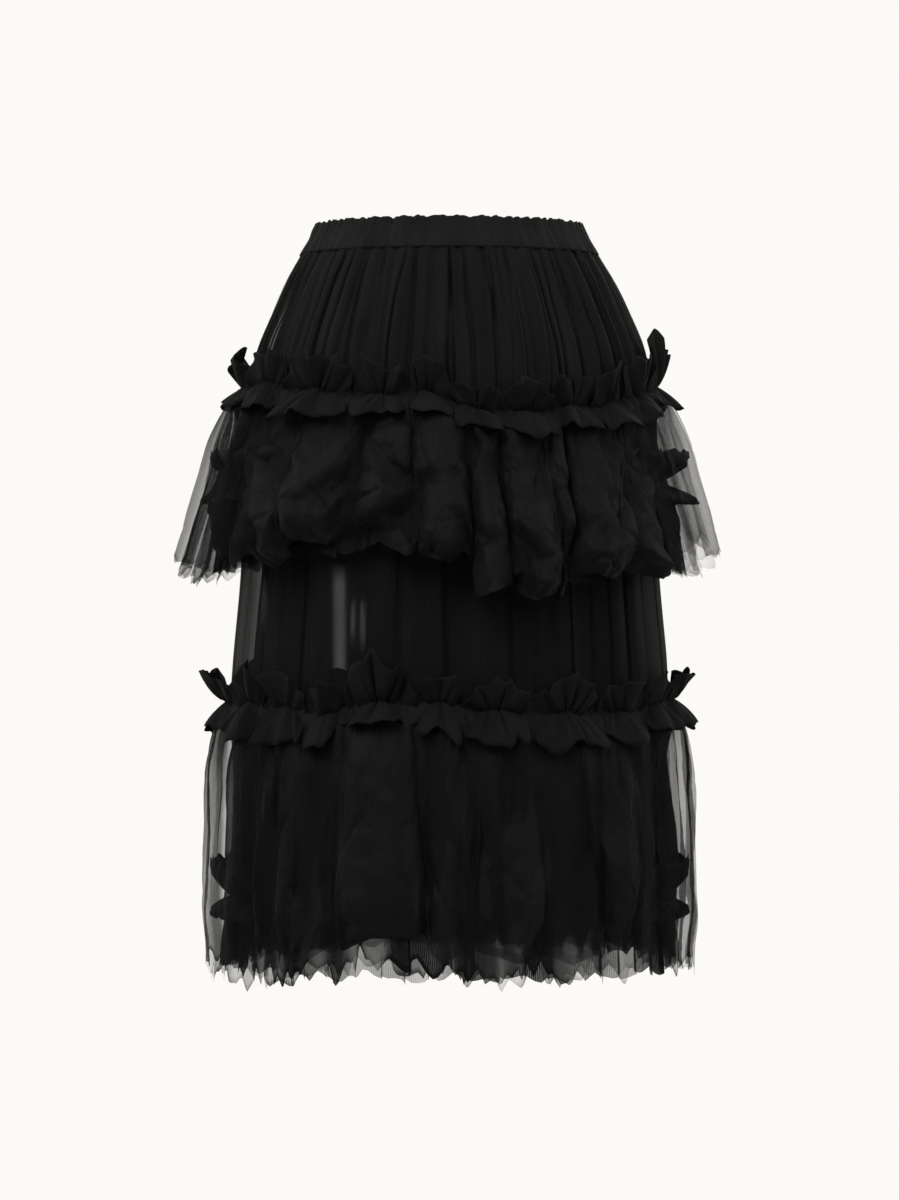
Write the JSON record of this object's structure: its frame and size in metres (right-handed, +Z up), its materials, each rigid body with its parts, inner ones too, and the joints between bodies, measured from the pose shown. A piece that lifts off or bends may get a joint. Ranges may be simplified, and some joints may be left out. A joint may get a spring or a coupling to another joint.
{
  "type": "gathered skirt",
  "caption": "Black gathered skirt of sheer cloth on an elastic waistband, hollow as if worn, with tiers of net flounce under double-edged ruffles.",
  "frame": {"origin": "middle of the waistband's ring, at half the band's height, where the wearer's waist holds it", "axes": "+Z up towards the waist opening, -Y out of the front, +X to the right in the front view"},
  "size_m": [0.5409, 0.4672, 0.738],
  "materials": {
    "band": "matt",
    "sheer": "soft matt, sheer",
    "lining": "matt",
    "ruffle": "matt, crisp",
    "net": "fine open net"
  },
  "bodies": {
    "root": {"waistband": "band", "skirt_front": "sheer", "lining_front": "lining", "skirt_back": "sheer", "lining_back": "lining", "upper_net_front": "net", "upper_ruffle_front": "ruffle", "upper_inner_net_front": "net", "upper_inner_ruffle_front": "ruffle", "upper_net_back": "net", "upper_ruffle_back": "ruffle", "upper_inner_net_back": "net", "upper_inner_ruffle_back": "ruffle", "lower_net_front": "net", "lower_ruffle_front": "ruffle", "lower_inner_net_front": "net", "lower_inner_ruffle_front": "ruffle", "lower_net_back": "net", "lower_ruffle_back": "ruffle", "lower_inner_net_back": "net", "lower_inner_ruffle_back": "ruffle"}
  },
  "joints": []
}
